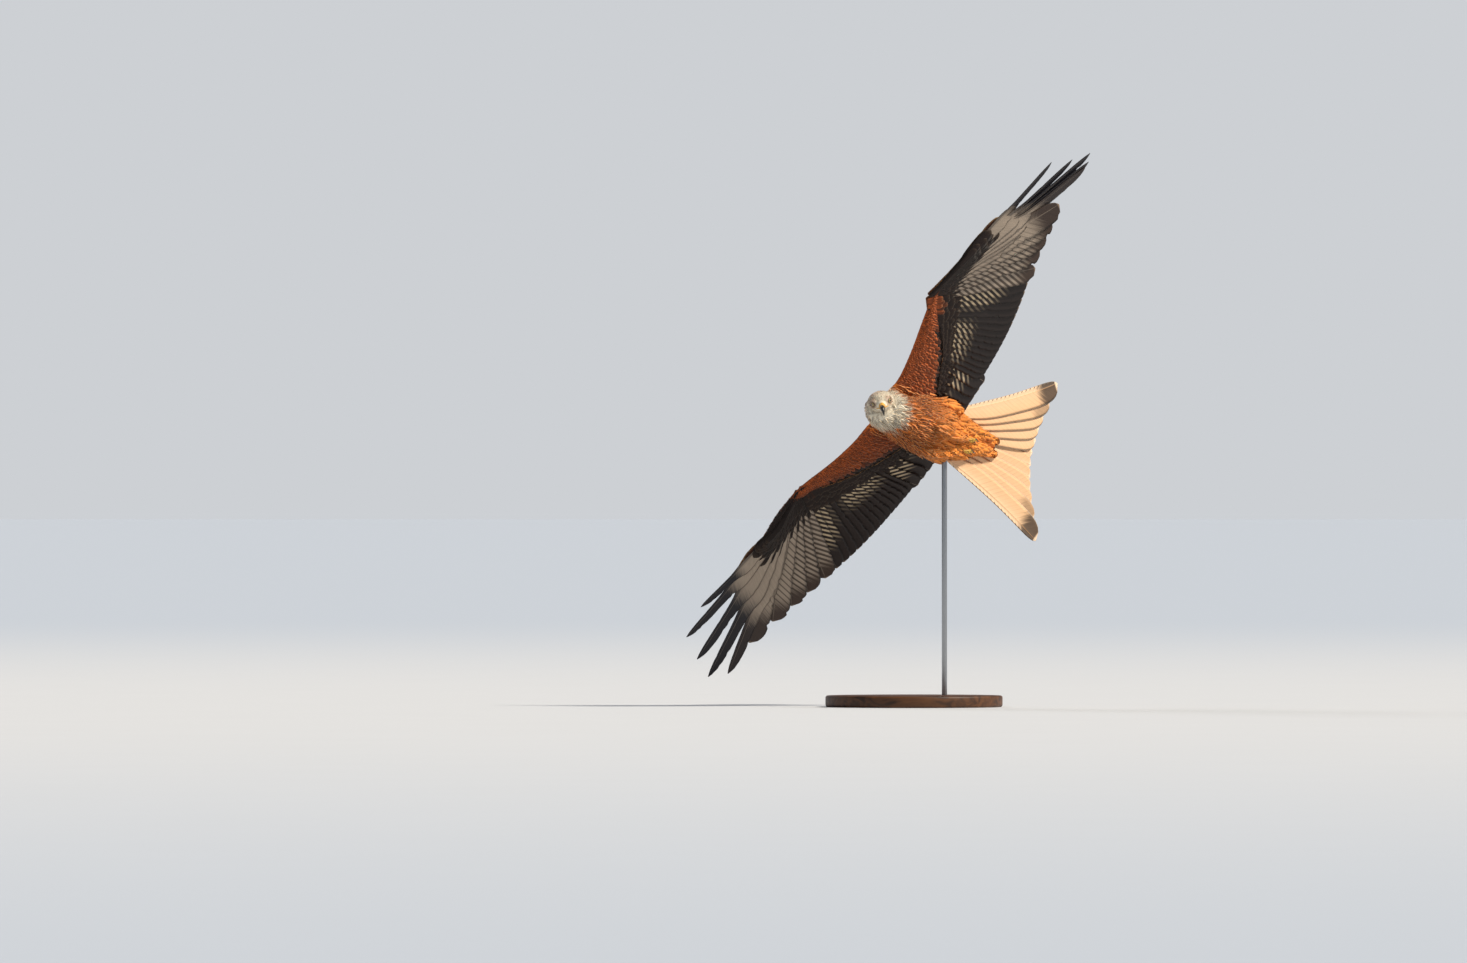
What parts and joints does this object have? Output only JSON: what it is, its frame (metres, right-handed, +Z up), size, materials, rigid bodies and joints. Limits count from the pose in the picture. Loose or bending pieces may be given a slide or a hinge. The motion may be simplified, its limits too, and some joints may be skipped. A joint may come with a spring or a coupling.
{
  "type": "red kite bird",
  "caption": "Life-size still model of a red kite banking in a glide, forked tail twisted, head turned down, on a plain rod and round base.",
  "frame": {"origin": "centre of the stand's underside, on the floor", "axes": "+Z up, -Y towards the viewer who sees the bird from below, +X to that viewer's right"},
  "size_m": [0.9128, 0.4701, 1.2499],
  "materials": {
    "rufous_feather": "feathered, rufous with dark streaks",
    "pale_head": "feathered, pale grey with fine dark streaks",
    "eye": "wet, pale amber with a dark pupil",
    "yellow_skin": "bare yellow skin, scaly on the feet",
    "dark_horn": "horn, dark at the tip",
    "tail_feather": "feathered, pale buff below and rufous above",
    "wing_feather": "feathered, blackish with a pale patch at the primaries' bases",
    "stand_wood": "satin, dark stained",
    "stand_steel": "brushed"
  },
  "bodies": {
    "root": {"torso": "rufous_feather", "neck": "rufous_feather", "leg_left": "rufous_feather", "leg_right": "rufous_feather", "head": "pale_head", "eye_left": "eye", "eye_right": "eye", "cere": "yellow_skin", "bill_upper": "dark_horn", "bill_lower": "dark_horn", "foot_left": "yellow_skin", "foot_right": "yellow_skin", "tail": "tail_feather", "wing_left_arm": "wing_feather", "wing_left_hand": "wing_feather", "wing_right_arm": "wing_feather", "wing_right_hand": "wing_feather", "stand_base": "stand_wood", "stand_rod": "stand_steel"}
  },
  "joints": []
}
